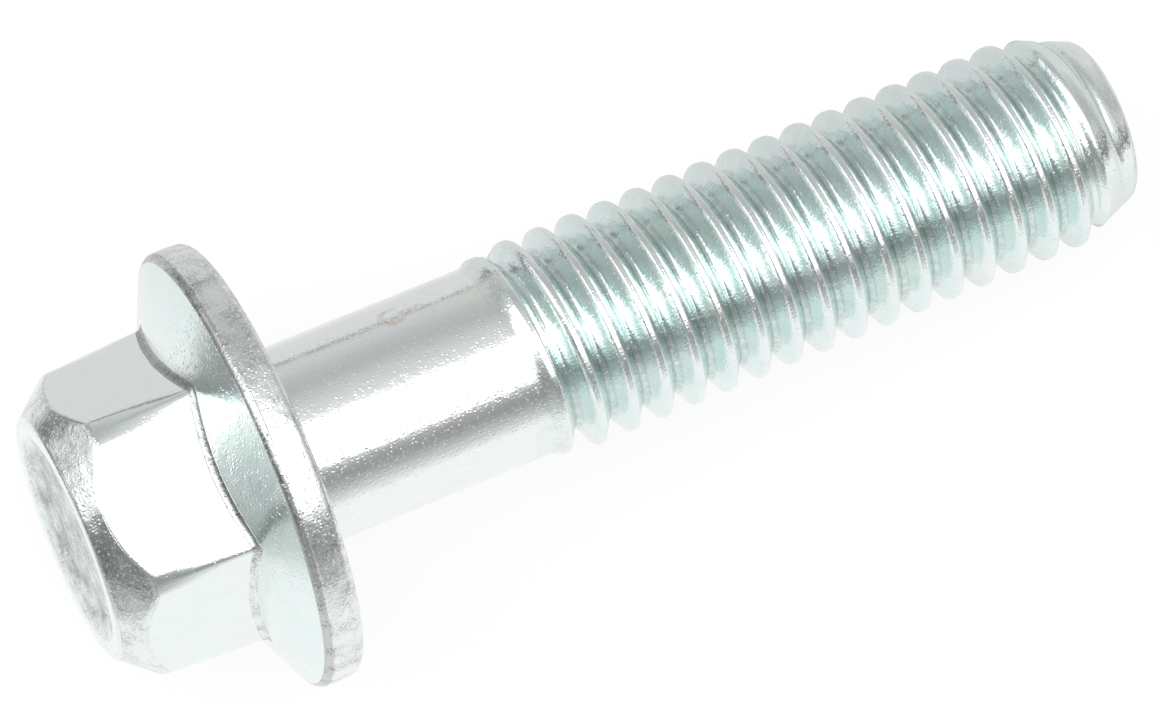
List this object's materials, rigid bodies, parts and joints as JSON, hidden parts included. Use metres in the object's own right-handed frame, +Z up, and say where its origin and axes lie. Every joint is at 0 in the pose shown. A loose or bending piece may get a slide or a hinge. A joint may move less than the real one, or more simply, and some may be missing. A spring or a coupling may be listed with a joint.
{
  "type": "hex flange head screw",
  "caption": "Partly threaded zinc-plated steel screw with a hexagon head on a round conical flange, lying on its side.",
  "frame": {"origin": "centre of the bounding box's base, on the ground that the screw lies on", "axes": "+X along the ground from the head towards the point, +Z up. The screw's own axis lies in the XZ plane and slopes down by 7.7 degrees towards the point"},
  "size_m": [0.0402, 0.016, 0.0159],
  "materials": {
    "zinc_plated_steel": "bright zinc plating with a faint blue tint"
  },
  "bodies": {
    "root": {"flange_screw": "zinc_plated_steel"}
  },
  "joints": []
}
